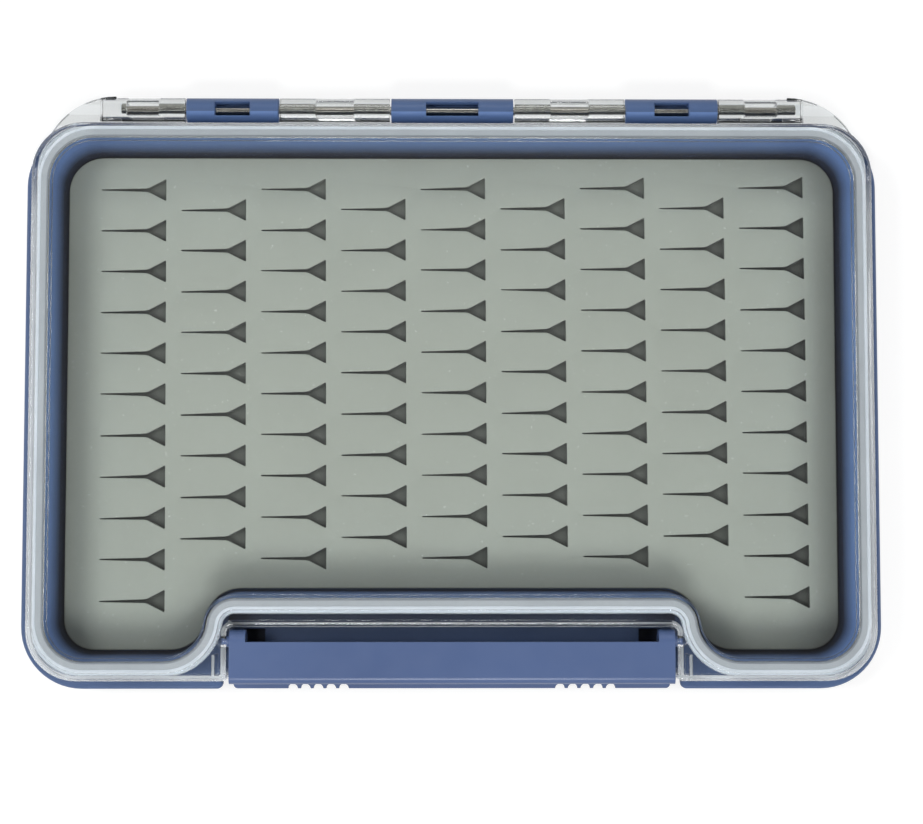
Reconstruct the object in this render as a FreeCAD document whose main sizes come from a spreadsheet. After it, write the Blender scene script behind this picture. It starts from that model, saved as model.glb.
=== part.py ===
import FreeCAD, Part
import os

import Sketcher

# Slim waterproof fly box: a blue tray with a slit silicone insert, a clear lid that is hinged along
# the rear on one long pin, a seal in the lid and a lever latch in a notch of the front edge.
# Millimetres. +X runs along the width, +Y to the hinge, +Z up. The origin is the centre of the
# underside of the overall box.

SIZES = {
    # Outline of the tray's floor, which every ring of the box follows at its own distance
    "tray_half_x": 89.0,
    "tray_rear": 54.9,
    "tray_front": 59.3,
    "tray_notch": 45.3,
    "tray_corner_rear": 8.3,
    "tray_corner_front": 7.2,
    "bend_outer": 8.3,
    "bend_inner": 7.7,
    "bend_centre_x": 64.2,
    # Tray section
    "parting": 10.5,
    "seat_gap": 0.1,
    "floor_thick": 1.8,
    "foot_wall": 1.5,
    "foot_bevel": 1.1,
    "side_wall": 2.6,
    "wall_draft": 1.6,
    "rim_wall": 1.8,
    "rim_height": 8.0,
    "rim_bevel": 0.35,
    "flange_half_x": 97.5,
    "flange_front": 67.5,
    "flange_rear": 61.0,
    "flange_corner": 14.0,
    "flange_thick": 2.0,
    "flange_bevel": 0.45,
    "strip_gap": 1.7,
    "strip_corner": 1.4,
    "port_inset": 2.2,
    "port_width": 4.9,
    "port_rear_gap": 0.75,
    "port_length": 6.4,
    "port_wall": 1.0,
    "port_depth": 6.6,
    # Hinge along the rear
    "hinge_y": 64.7,
    "barrel_radius": 2.8,
    "pin_radius": 1.0,
    "pin_fit": 0.03,
    "pin_run": 0.08,
    "pin_left": 75.9,
    "pin_right": 79.0,
    "pin_bevel": 0.2,
    "pin_stop_gap": 0.3,
    "knuckle_gap": 0.3,
    "centre_knuckle": 28.0,
    "inner_knuckle": 25.3,
    "side_knuckle": 21.0,
    "end_knuckle": 19.3,
    "centre_window": 12.0,
    "inner_window": 8.8,
    "side_window": 8.0,
    "end_window": 7.4,
    "window_width": 3.2,
    "window_floor": 1.5,
    # Lid
    "lid_half_x": 94.45,
    "lid_front": 65.15,
    "lid_rear": 59.8,
    "lid_corner": 11.4,
    "lid_height": 10.5,
    "lid_bevel": 0.6,
    "panel": 1.6,
    "skirt": 1.1,
    "skirt_rear": 0.75,
    "notch_wall": 1.3,
    "notch_half": 50.0,
    "notch_rear": 53.2,
    "notch_corner": 1.5,
    "notch_lip_corner": 0.8,
    "cavity_corner": 0.6,
    "stiffener_gap": 1.4,
    "stiffener_thick": 0.6,
    "stiffener_rear": 59.5,
    "web_start": 77.0,
    "web_radius": 17.1,
    "web_thick": 2.0,
    "web_toe": 2.4,
    # Seal in the lid
    "seal_inset": 0.1,
    "seal_gap": 0.1,
    "gasket_width": 2.4,
    "gasket_bevel": 0.4,
    "groove_depth": 0.6,
    "groove_gap": 0.05,
    "seal_rib": 0.7,
    "seal_rib_drop": 0.8,
    # Latch lever
    "latch_side_gap": 0.6,
    "latch_front": 65.85,
    "latch_rear_gap": 0.7,
    "latch_radius": 2.6,
    "latch_round": 1.5,
    "plate_thick": 1.8,
    "front_wall": 1.85,
    "nose_reach": 0.8,
    "nose_gap": 0.2,
    "nose_drop": 0.3,
    "nose_depth": 1.1,
    "nose_face": 0.4,
    "lip_face": 1.8,
    "lip_slope": 1.4,
    "lip_corner": 0.9,
    "arm_thick": 3.6,
    "arm_run": 3.5,
    "arm_drop": 3.5,
    "cheek_thick": 1.6,
    "cheek_drop": 8.5,
    "trunnion_radius": 1.2,
    "trunnion_run": 0.05,
    "trunnion_short": 0.2,
    "scallop_radius": 1.1,
    "scallop_pitch": 2.88,
    "scallop_first": 24.5,
    # Silicone insert and the film under it
    "insert_gap": 0.3,
    "insert_thick": 3.0,
    "insert_bevel": 0.25,
    "film_inset": 1.5,
    "film_thick": 0.2,
    "slit_depth": 2.2,
    "slit_length": 14.5,
    "slit_tip": 0.12,
    "slit_neck": 0.35,
    "slit_mouth": 2.35,
    "slit_mouth_length": 4.1,
    "slit_shift": 0.5,
    "column_pitch": 18.49,
    "row_pitch": 9.5,
    "row_first": 47.5,
    # Overrun of a cutting shape past the face that it opens
    "overrun": 1.0,
}

# Sizes worked out from the ones above
DERIVED = {
    "top": "parting + lid_height",
    "flange_top": "parting - seat_gap",
    "flange_bottom": "flange_top - flange_thick",
    "rim_top": "flange_top + rim_height",
    "rim_grow": "wall_draft + rim_wall",
    "latch_half": "notch_half - latch_side_gap",
    "latch_gap_half": "notch_half + strip_gap",
    "latch_pivot_y": "notch_rear + latch_rear_gap + latch_radius",
    "port_outer": "latch_half - port_inset",
    "port_rear": "notch_rear + port_rear_gap",
    "port_boss": "port_depth + port_wall - flange_thick",
    "catch_front": "latch_front - front_wall - nose_reach - nose_gap",
    "knuckle_one": "centre_knuckle / 2",
    "knuckle_two": "knuckle_one + knuckle_gap",
    "knuckle_three": "knuckle_two + inner_knuckle",
    "knuckle_four": "knuckle_three + knuckle_gap",
    "knuckle_five": "knuckle_four + side_knuckle",
    "knuckle_six": "knuckle_five + knuckle_gap",
    "panel_under": "top - panel",
    "gasket_in": "wall_draft + seal_inset",
    "gasket_out": "gasket_in + gasket_width",
    "groove_in": "gasket_in - groove_gap",
    "groove_out": "gasket_out + groove_gap",
    "groove_roof": "panel_under + groove_depth",
    "gasket_low": "rim_top + seal_gap",
    "rib_low": "panel_under - seal_rib_drop",
    "latch_pivot_z": "top - latch_radius",
    "trunnion_end": "notch_half + notch_wall - trunnion_short",
    "nose_top": "flange_bottom - nose_drop",
    "latch_low": "nose_top - nose_depth",
    "insert_low": "floor_thick + film_thick",
    "insert_top": "insert_low + insert_thick",
}

# Slits: long columns alternate with short ones, and the two outermost columns have one slit more
LONG_COLUMNS = 5
SHORT_COLUMNS = 4
LONG_ROWS = 10
SHORT_ROWS = 9
OUTERMOST = 2
SCALLOPS = 5

# Numbers by which a sketch knows an edge's start, its end and an arc's centre, and its own origin
START, END, CENTRE = range(1, 4)
ORIGIN = -1

# Two lengths closer than this are the same
SAME = 0.001

doc = FreeCAD.newDocument("FlyBox")
sheet = doc.addObject("Spreadsheet::Sheet", "Sizes")


def fill_sheet():
    """Write every size and every derived size into the sheet under its own alias."""
    row = 0
    for name, value in SIZES.items():
        row += 1
        sheet.set("A%d" % row, name)
        sheet.set("B%d" % row, str(value))
        sheet.setAlias("B%d" % row, name)
    for name, rule in DERIVED.items():
        row += 1
        sheet.set("A%d" % row, name)
        sheet.set("B%d" % row, "=" + rule)
        sheet.setAlias("B%d" % row, name)
    doc.recompute()


def bound(rule):
    """Turn a rule in plain size names into an expression that reads the sheet."""
    words = []
    word = ""
    for sign in rule + " ":
        if sign.isalnum() or sign == "_":
            word += sign
            continue
        if word in SIZES or word in DERIVED:
            word = "Sizes." + word
        words.append(word + sign)
        word = ""
    return "".join(words).strip()


def worth(rule):
    """The number that a rule gives now."""
    return float(sheet.evalExpression(bound(rule)))


def new_body(label):
    body = doc.addObject("PartDesign::Body", label)
    body.Label = label
    return body


def plane(body, role):
    for feature in body.Origin.OriginFeatures:
        if feature.Role == role:
            return feature
    raise RuntimeError("no plane " + role)


def new_sketch(body, name, role="XY_Plane", lift=None):
    """A sketch on one of the body's own planes, lifted along its normal by a rule."""
    sketch = body.newObject("Sketcher::SketchObject", name)
    sketch.AttachmentSupport = [(plane(body, role), "")]
    sketch.MapMode = "FlatFace"
    if lift:
        sketch.setExpression("AttachmentOffset.Base.z", bound(lift))
    sketch.Visibility = False
    return sketch


def tie(sketch, constraint, rule):
    """Add a constraint whose value is a rule."""
    index = sketch.addConstraint(constraint)
    sketch.setExpression("Constraints[%d]" % index, bound(rule))


def pin_point(sketch, geo, pos, x_rule, y_rule):
    """Hold a point at a place measured from the sketch's origin."""
    tie(sketch, Sketcher.Constraint("DistanceX", ORIGIN, START, geo, pos, worth(x_rule)), x_rule)
    tie(sketch, Sketcher.Constraint("DistanceY", ORIGIN, START, geo, pos, worth(y_rule)), y_rule)


def join(sketch, geo_a, pos_a, geo_b, pos_b):
    sketch.addConstraint(Sketcher.Constraint("Coincident", geo_a, pos_a, geo_b, pos_b))


def square_up(sketch, geo, pos, point, centre):
    """Keep an arc's end straight above, below or beside its centre."""
    kind = "Vertical" if abs(point.x - centre.x) < abs(point.y - centre.y) else "Horizontal"
    sketch.addConstraint(Sketcher.Constraint(kind, geo, pos, geo, CENTRE))


def add_arc(sketch, centre, radius, start, end):
    """An arc that runs counterclockwise from start to end about its centre."""
    circle = Part.Circle(centre, FreeCAD.Vector(0, 0, 1), radius)
    arc = Part.ArcOfCircle(circle, circle.parameter(start), circle.parameter(end))
    return sketch.addGeometry(arc, False)


def outline(sketch, corners):
    """A closed outline of straight sides along the axes, with rounded or sharp corners.

    Each corner is (x rule, y rule, radius rule or None), counterclockwise round the outline."""
    count = len(corners)
    places = [FreeCAD.Vector(worth(c[0]), worth(c[1]), 0) for c in corners]
    ends = []
    for i, (x_rule, y_rule, r_rule) in enumerate(corners):
        here = places[i]
        way_in = (here - places[i - 1]).normalize()
        way_out = (places[(i + 1) % count] - here).normalize()
        if r_rule is None:
            ends.append((None, here, here, 0, 0))
            continue
        radius = worth(r_rule)
        first = here - way_in * radius
        last = here + way_out * radius
        centre = here + (way_out - way_in) * radius
        left_turn = way_in.x * way_out.y - way_in.y * way_out.x > 0
        if left_turn:
            geo = add_arc(sketch, centre, radius, first, last)
        else:
            geo = add_arc(sketch, centre, radius, last, first)
        near, far = (START, END) if left_turn else (END, START)
        shift_x = round(way_out.x - way_in.x)
        shift_y = round(way_out.y - way_in.y)
        pin_point(sketch, geo, CENTRE, "%s + %d * (%s)" % (x_rule, shift_x, r_rule),
                  "%s + %d * (%s)" % (y_rule, shift_y, r_rule))
        tie(sketch, Sketcher.Constraint("Radius", geo, radius), r_rule)
        square_up(sketch, geo, near, first, centre)
        square_up(sketch, geo, far, last, centre)
        ends.append((geo, first, last, near, far))
    sides = []
    for i in range(count):
        begin = ends[i][2]
        stop = ends[(i + 1) % count][1]
        sides.append(sketch.addGeometry(Part.LineSegment(begin, stop), False))
    for i in range(count):
        geo, first, last, near, far = ends[i]
        if geo is None:
            join(sketch, sides[i - 1], END, sides[i], START)
            pin_point(sketch, sides[i], START, corners[i][0], corners[i][1])
        else:
            join(sketch, sides[i - 1], END, geo, near)
            join(sketch, sides[i], START, geo, far)


def tray_outline(sketch, grow):
    """The tray's outline at a distance outside its floor outline.

    The front wall swings round the latch in two S bends, each of two arcs that meet in a tangent."""
    half = "tray_half_x + (%s)" % grow
    rear = "tray_rear + (%s)" % grow
    front = "-tray_front - (%s)" % grow
    notch = "-tray_notch - (%s)" % grow
    rear_r = "tray_corner_rear + (%s)" % grow
    front_r = "tray_corner_front + (%s)" % grow
    outer_r = "bend_outer + (%s)" % grow
    inner_r = "bend_inner - (%s)" % grow
    v = FreeCAD.Vector
    hx, ry, fy, ny = worth(half), worth(rear), worth(front), worth(notch)
    rr, fr, br, cr = worth(rear_r), worth(front_r), worth(outer_r), worth(inner_r)
    bx = worth("bend_centre_x")
    rise = (fy + br) - (ny - cr)
    run = ((br + cr) ** 2 - rise ** 2) ** 0.5
    share = br / (br + cr)
    arcs = {}

    # Rear and front corners
    for name, sx, cy, radius, rule, y_rule, low, high in (
            ("rear_right", 1, ry - rr, rr, rear_r, "tray_rear - tray_corner_rear", (1, 0), (0, 1)),
            ("rear_left", -1, ry - rr, rr, rear_r, "tray_rear - tray_corner_rear", (0, 1), (-1, 0)),
            ("front_left", -1, fy + fr, fr, front_r, "tray_corner_front - tray_front", (-1, 0), (0, -1)),
            ("front_right", 1, fy + fr, fr, front_r, "tray_corner_front - tray_front", (0, -1), (1, 0))):
        centre = v(sx * (hx - radius), cy, 0)
        start = centre + v(low[0] * radius, low[1] * radius, 0)
        end = centre + v(high[0] * radius, high[1] * radius, 0)
        geo = add_arc(sketch, centre, radius, start, end)
        fixed = "tray_half_x - tray_corner_rear" if "rear" in name else "tray_half_x - tray_corner_front"
        pin_point(sketch, geo, CENTRE, "%d * (%s)" % (sx, fixed), y_rule)
        tie(sketch, Sketcher.Constraint("Radius", geo, radius), rule)
        square_up(sketch, geo, START, start, centre)
        square_up(sketch, geo, END, end, centre)
        arcs[name] = (geo, start, end)

    # The two S bends beside the latch
    for name, sx in (("left", -1), ("right", 1)):
        outer_c = v(sx * bx, fy + br, 0)
        inner_c = v(sx * (bx - run), ny - cr, 0)
        meet = outer_c + (inner_c - outer_c) * share
        low = outer_c + v(0, -br, 0)
        high = inner_c + v(0, cr, 0)
        if sx < 0:
            outer_geo = add_arc(sketch, outer_c, br, low, meet)
            inner_geo = add_arc(sketch, inner_c, cr, high, meet)
            ends = (START, END, START, END)
        else:
            outer_geo = add_arc(sketch, outer_c, br, meet, low)
            inner_geo = add_arc(sketch, inner_c, cr, meet, high)
            ends = (END, START, END, START)
        pin_point(sketch, outer_geo, CENTRE, "%d * bend_centre_x" % sx, "bend_outer - tray_front")
        tie(sketch, Sketcher.Constraint("Radius", outer_geo, br), outer_r)
        square_up(sketch, outer_geo, ends[0], low, outer_c)
        tie(sketch, Sketcher.Constraint("DistanceY", ORIGIN, START, inner_geo, CENTRE, ny - cr),
            "-tray_notch - bend_inner")
        tie(sketch, Sketcher.Constraint("Radius", inner_geo, cr), inner_r)
        square_up(sketch, inner_geo, ends[2], high, inner_c)
        sketch.addConstraint(Sketcher.Constraint("Tangent", outer_geo, ends[1], inner_geo, ends[3]))
        arcs["outer_" + name] = (outer_geo, low, meet, ends[0])
        arcs["inner_" + name] = (inner_geo, high, meet, ends[2])

    def side(point_a, geo_a, pos_a, point_b, geo_b, pos_b):
        line = sketch.addGeometry(Part.LineSegment(point_a, point_b), False)
        join(sketch, line, START, geo_a, pos_a)
        join(sketch, line, END, geo_b, pos_b)

    rear_right, rear_left = arcs["rear_right"], arcs["rear_left"]
    front_left, front_right = arcs["front_left"], arcs["front_right"]
    side(rear_right[2], rear_right[0], END, rear_left[1], rear_left[0], START)
    side(rear_left[2], rear_left[0], END, front_left[1], front_left[0], START)
    side(front_right[2], front_right[0], END, rear_right[1], rear_right[0], START)
    outer, inner = arcs["outer_left"], arcs["inner_left"]
    side(front_left[2], front_left[0], END, outer[1], outer[0], outer[3])
    other = arcs["inner_right"]
    side(inner[1], inner[0], inner[3], other[1], other[0], other[3])
    outer = arcs["outer_right"]
    side(outer[1], outer[0], outer[3], front_right[1], front_right[0], START)


def flat_outline(sketch, points):
    """A closed outline of straight sides through points given by rules."""
    places = [FreeCAD.Vector(worth(x), worth(y), 0) for x, y in points]
    lines = []
    for i in range(len(places)):
        lines.append(sketch.addGeometry(Part.LineSegment(places[i - 1], places[i]), False))
    for i in range(len(places)):
        join(sketch, lines[i], END, lines[(i + 1) % len(lines)], START)
        pin_point(sketch, lines[i], END, points[i][0], points[i][1])


def box_outline(sketch, x_low, x_high, y_low, y_high):
    flat_outline(sketch, [(x_low, y_low), (x_high, y_low), (x_high, y_high), (x_low, y_high)])


def circle_outline(sketch, x_rule, y_rule, radius_rule):
    centre = FreeCAD.Vector(worth(x_rule), worth(y_rule), 0)
    geo = sketch.addGeometry(Part.Circle(centre, FreeCAD.Vector(0, 0, 1), worth(radius_rule)), False)
    pin_point(sketch, geo, CENTRE, x_rule, y_rule)
    tie(sketch, Sketcher.Constraint("Radius", geo, worth(radius_rule)), radius_rule)


def extrude(body, kind, sketch, length, down=False, both_ways=False):
    """A Pad or a Pocket of a sketch. A pad grows along the normal, a pocket sinks against it."""
    feature = body.newObject("PartDesign::" + kind, sketch.Name + kind)
    feature.Profile = sketch
    feature.Type = 0
    feature.Length = worth(length)
    feature.setExpression("Length", bound(length))
    feature.Reversed = down
    feature.Midplane = both_ways
    return feature


def loft(body, kind, sketches):
    feature = body.newObject("PartDesign::" + kind, sketches[0].Name + "Loft")
    feature.Profile = sketches[0]
    feature.Sections = sketches[1:]
    feature.Ruled = True
    return feature


def dress(body, kind, base, test, rule, setting):
    """A Fillet or a Chamfer on the edges of a feature that a test picks out."""
    doc.recompute()
    names = []
    for i, edge in enumerate(base.Shape.Edges):
        if test(edge):
            names.append("Edge%d" % (i + 1))
    feature = body.newObject("PartDesign::" + kind, base.Name + kind)
    feature.Base = (base, names)
    feature.setExpression(setting, bound(rule))
    return feature


def near(value, rule):
    return abs(value - worth(rule)) < SAME


def is_flat_at(edge, level_rule):
    """Whether an edge lies level at a height."""
    box = edge.BoundBox
    return near(box.ZMin, level_rule) and near(box.ZMax, level_rule)


def is_upright(edge):
    box = edge.BoundBox
    return box.XLength < SAME and box.YLength < SAME and box.ZLength > SAME


def knuckle_spans():
    """Start, length, window length and owner of each hinge knuckle from left to right."""
    spans = [
        ("-knuckle_six - end_knuckle", "end_knuckle", "end_window", "lid"),
        ("-knuckle_five", "side_knuckle", "side_window", "tray"),
        ("-knuckle_three", "inner_knuckle", "inner_window", "lid"),
        ("-knuckle_one", "centre_knuckle", "centre_window", "tray"),
        ("knuckle_two", "inner_knuckle", "inner_window", "lid"),
        ("knuckle_four", "side_knuckle", "side_window", "tray"),
        ("knuckle_six", "end_knuckle", "end_window", "lid"),
    ]
    return spans


def knuckle_outline(sketch, foot, root, toe):
    """A hinge barrel seen along its axis, with the web that carries it.

    foot is the side of the axis that the web is level with, -1 below and 1 above. root is the y
    where the web ends, and toe is the height of the web's other side."""
    y, z, r = worth("hinge_y"), worth("parting"), worth("barrel_radius")
    outer_z = "parting + %d * barrel_radius" % foot
    inner_y = "hinge_y - barrel_radius"
    v = FreeCAD.Vector
    centre = v(y, z, 0)
    outer = v(y, worth(outer_z), 0)
    inner = v(y - r, z, 0)
    if foot < 0:
        arc = add_arc(sketch, centre, r, outer, inner)
        outer_end, inner_end = START, END
    else:
        arc = add_arc(sketch, centre, r, inner, outer)
        outer_end, inner_end = END, START
    pin_point(sketch, arc, CENTRE, "hinge_y", "parting")
    tie(sketch, Sketcher.Constraint("Radius", arc, r), "barrel_radius")
    square_up(sketch, arc, outer_end, outer, centre)
    square_up(sketch, arc, inner_end, inner, centre)
    stops = [(root, outer_z), (root, toe)]
    if abs(worth(toe) - z) > SAME:
        stops.append((inner_y, toe))
    last_geo, last_pos, last_point = arc, outer_end, outer
    for y_rule, z_rule in stops:
        point = v(worth(y_rule), worth(z_rule), 0)
        line = sketch.addGeometry(Part.LineSegment(last_point, point), False)
        join(sketch, last_geo, last_pos, line, START)
        pin_point(sketch, line, END, y_rule, z_rule)
        last_geo, last_pos, last_point = line, END, point
    line = sketch.addGeometry(Part.LineSegment(last_point, inner), False)
    join(sketch, last_geo, last_pos, line, START)
    join(sketch, line, END, arc, inner_end)


def add_knuckles(body, owner, foot, root, toe):
    """The barrels of one owner, each a pad along the hinge axis."""
    for i, (start, length, window, who) in enumerate(knuckle_spans()):
        if who == owner:
            sketch = new_sketch(body, "%sKnuckle%d" % (owner.title(), i), "YZ_Plane", start)
            knuckle_outline(sketch, foot, root, toe)
            extrude(body, "Pad", sketch, length)


def cut_windows(body, owner):
    """Windows from above that bare the pin in the middle of each barrel of one owner."""
    sketch = new_sketch(body, owner.title() + "Windows", lift="parting + barrel_radius")
    for start, length, window, who in knuckle_spans():
        if who == owner:
            low = "%s + (%s - %s) / 2" % (start, length, window)
            high = "%s + (%s + %s) / 2" % (start, length, window)
            box_outline(sketch, low, high, "hinge_y - window_width / 2", "hinge_y + window_width / 2")
    extrude(body, "Pocket", sketch, "barrel_radius + window_floor")


def make_tray():
    body = new_body("base_tray")

    # The tub under the flange, with a bevelled foot
    foot = new_sketch(body, "TrayFoot")
    tray_outline(foot, "foot_wall - foot_bevel")
    heel = new_sketch(body, "TrayHeel", lift="foot_bevel")
    tray_outline(heel, "foot_wall")
    loft(body, "AdditiveLoft", [foot, heel])
    tub = new_sketch(body, "TrayTub", lift="foot_bevel")
    tray_outline(tub, "foot_wall")
    neck = new_sketch(body, "TrayNeck", lift="flange_bottom")
    tray_outline(neck, "side_wall")
    loft(body, "AdditiveLoft", [tub, neck])

    # The flange that the lid closes on, set back in front for the latch
    flange = new_sketch(body, "TrayFlange", lift="flange_bottom")
    outline(flange, [
        ("flange_half_x", "-flange_front", "flange_corner"),
        ("flange_half_x", "flange_rear", "flange_corner"),
        ("-flange_half_x", "flange_rear", "flange_corner"),
        ("-flange_half_x", "-flange_front", "flange_corner"),
        ("-latch_gap_half", "-flange_front", "strip_corner"),
        ("-latch_gap_half", "-catch_front", None),
        ("latch_gap_half", "-catch_front", None),
        ("latch_gap_half", "-flange_front", "strip_corner")])
    extrude(body, "Pad", flange, "flange_thick")
    rim = new_sketch(body, "TrayRim", lift="flange_bottom")
    tray_outline(rim, "rim_grow")
    rim_pad = extrude(body, "Pad", rim, "flange_thick + rim_height")

    # Broken edges of the flange and of the rim's outside
    flange_edges = dress(body, "Chamfer", rim_pad, is_flange_edge, "flange_bevel", "Size")
    dress(body, "Chamfer", flange_edges, lambda e: is_flat_at(e, "rim_top"), "rim_bevel", "Size")

    # The cavity, whose walls lean out towards the rim
    floor = new_sketch(body, "TrayFloor", lift="floor_thick")
    tray_outline(floor, "0")
    mouth = new_sketch(body, "TrayMouth", lift="rim_top")
    tray_outline(mouth, "wall_draft")
    loft(body, "SubtractiveLoft", [floor, mouth])

    # Two blind ports in the ledge behind the latch, each in a boss under it
    for name, kind, lift, spare, length in (
            ("TrayPortBosses", "Pad", "flange_bottom", "port_wall", "port_boss"),
            ("TrayPorts", "Pocket", "flange_top", "0", "port_depth")):
        ports = new_sketch(body, name, lift=lift)
        y_low = "-port_rear - port_length - " + spare
        y_high = spare + " - port_rear"
        outer = "port_outer + " + spare
        inner = "port_outer - port_width - " + spare
        box_outline(ports, inner, outer, y_low, y_high)
        box_outline(ports, "-(%s)" % outer, "-(%s)" % inner, y_low, y_high)
        extrude(body, kind, ports, length, down=kind == "Pad")

    add_knuckles(body, "tray", -1, "flange_rear - flange_thick", "flange_top")
    bore = new_sketch(body, "TrayBore", "YZ_Plane")
    circle_outline(bore, "hinge_y", "parting", "pin_radius + pin_fit")
    extrude(body, "Pocket", bore, "2 * knuckle_six", both_ways=True)
    cut_windows(body, "tray")
    return body


def is_flange_edge(edge):
    """The flange's level edges, apart from those where the tub meets it."""
    level = is_flat_at(edge, "flange_top") or is_flat_at(edge, "flange_bottom")
    if not level:
        return False
    box = edge.BoundBox
    beyond_tub = max(abs(box.XMin), abs(box.XMax)) > worth("tray_half_x + rim_grow") + SAME
    at_front = near(box.YMin, "-flange_front")
    at_rear = near(box.YMax, "flange_rear")
    return beyond_tub or at_front or at_rear


def lid_outline(sketch, walls, lip_corner, inner_corner):
    """The lid's outline with the notch for the latch in front, inside walls of three thicknesses.

    They are that of the sides and the front, that of the rear and that of the notch."""
    inset, rear_inset, notch_inset = walls
    half = "lid_half_x - " + inset
    front = "%s - lid_front" % inset
    rear = "lid_rear - " + rear_inset
    corner = "lid_corner - " + inset
    notch_x = "notch_half + " + notch_inset
    notch_y = "%s - notch_rear" % notch_inset
    outline(sketch, [
        (half, front, corner),
        (half, rear, corner),
        ("-(%s)" % half, rear, corner),
        ("-(%s)" % half, front, corner),
        ("-(%s)" % notch_x, front, lip_corner),
        ("-(%s)" % notch_x, notch_y, inner_corner),
        (notch_x, notch_y, inner_corner),
        (notch_x, front, lip_corner)])


def make_lid():
    body = new_body("lid_cover")
    shell = new_sketch(body, "LidShell", lift="parting")
    lid_outline(shell, ("0", "0", "0"), "notch_lip_corner", "notch_corner")
    block = extrude(body, "Pad", shell, "lid_height")
    dress(body, "Chamfer", block, lambda e: is_flat_at(e, "top"), "lid_bevel", "Size")

    # Curved corner webs that carry the outer ends of the hinge
    for name, way in (("LidWebLeft", -1), ("LidWebRight", 1)):
        web = new_sketch(body, name, lift="parting")
        web_outline(web, way)
        extrude(body, "Pad", web, "web_thick")

    # The hollow under the panel
    hollow = new_sketch(body, "LidHollow", lift="panel_under")
    lid_outline(hollow, ("skirt", "skirt_rear", "notch_wall"), "cavity_corner", "notch_corner + notch_wall")
    extrude(body, "Pocket", hollow, "lid_height - panel + overrun")

    # Two ribs round the seal and the groove that it sits in
    for name, inner, outer in (("LidInnerRib", "groove_in - seal_rib", "groove_in"),
                               ("LidOuterRib", "groove_out", "groove_out + seal_rib")):
        rib = new_sketch(body, name, lift="rib_low")
        tray_outline(rib, outer)
        tray_outline(rib, inner)
        extrude(body, "Pad", rib, "seal_rib_drop")
    groove = new_sketch(body, "LidGroove", lift="panel_under")
    tray_outline(groove, "groove_out")
    tray_outline(groove, "groove_in")
    extrude(body, "Pocket", groove, "groove_depth", down=True)

    # A thin stiffener beside each wall of the latch notch
    stiff = new_sketch(body, "LidStiffeners", lift="parting")
    near_x = "notch_half + notch_wall + stiffener_gap"
    far_x = near_x + " + stiffener_thick"
    box_outline(stiff, near_x, far_x, "skirt / 2 - lid_front", "-stiffener_rear")
    box_outline(stiff, "-(%s)" % far_x, "-(%s)" % near_x, "skirt / 2 - lid_front", "-stiffener_rear")
    extrude(body, "Pad", stiff, "lid_height - panel / 2")

    add_knuckles(body, "lid", 1, "lid_rear - skirt_rear / 2", "parting")
    bore = new_sketch(body, "LidBore", "YZ_Plane", "-pin_left - pin_stop_gap")
    circle_outline(bore, "hinge_y", "parting", "pin_radius + pin_run")
    extrude(body, "Pocket", bore, "pin_left + pin_stop_gap + flange_half_x", down=True)
    cut_windows(body, "lid")

    # Holes for the latch's trunnions through the notch's side walls
    holes = new_sketch(body, "LidTrunnionHoles", "YZ_Plane")
    circle_outline(holes, "-latch_pivot_y", "latch_pivot_z", "trunnion_radius + trunnion_run")
    extrude(body, "Pocket", holes, "2 * (notch_half + notch_wall + stiffener_gap / 2)", both_ways=True)
    return body


def web_outline(sketch, way):
    """One corner web: an arc that leaves the barrel's rear in a tangent and runs into the skirt."""
    rear = "hinge_y + barrel_radius"
    centre_x = "%d * web_start" % way
    centre_y = rear + " - web_radius"
    toe_y = centre_y + " + web_toe"
    v = FreeCAD.Vector
    centre = v(worth(centre_x), worth(centre_y), 0)
    radius, rise = worth("web_radius"), worth("web_toe")
    top = centre + v(0, radius, 0)
    toe = centre + v(way * (radius ** 2 - rise ** 2) ** 0.5, rise, 0)
    foot = centre + v(0, rise, 0)
    if way > 0:
        arc = add_arc(sketch, centre, radius, toe, top)
        toe_end, top_end = START, END
    else:
        arc = add_arc(sketch, centre, radius, top, toe)
        toe_end, top_end = END, START
    pin_point(sketch, arc, CENTRE, centre_x, centre_y)
    tie(sketch, Sketcher.Constraint("Radius", arc, radius), "web_radius")
    square_up(sketch, arc, top_end, top, centre)
    tie(sketch, Sketcher.Constraint("DistanceY", ORIGIN, START, arc, toe_end, worth(toe_y)), toe_y)
    down_line = sketch.addGeometry(Part.LineSegment(top, foot), False)
    base_line = sketch.addGeometry(Part.LineSegment(foot, toe), False)
    join(sketch, arc, top_end, down_line, START)
    join(sketch, down_line, END, base_line, START)
    join(sketch, base_line, END, arc, toe_end)
    pin_point(sketch, down_line, END, centre_x, toe_y)


def make_gasket():
    body = new_body("lid_gasket")
    ring = new_sketch(body, "GasketRing", lift="gasket_low")
    tray_outline(ring, "gasket_out")
    tray_outline(ring, "gasket_in")
    pad = extrude(body, "Pad", ring, "groove_roof - gasket_low")
    dress(body, "Chamfer", pad, lambda e: is_flat_at(e, "gasket_low"), "gasket_bevel", "Size")
    return body


def make_pin():
    body = new_body("hinge_pin")
    circle = new_sketch(body, "PinSection", "YZ_Plane", "-pin_left")
    circle_outline(circle, "hinge_y", "parting", "pin_radius")
    pad = extrude(body, "Pad", circle, "pin_left + pin_right")
    dress(body, "Chamfer", pad, lambda e: e.BoundBox.XLength < SAME, "pin_bevel", "Size")
    return body


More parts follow.
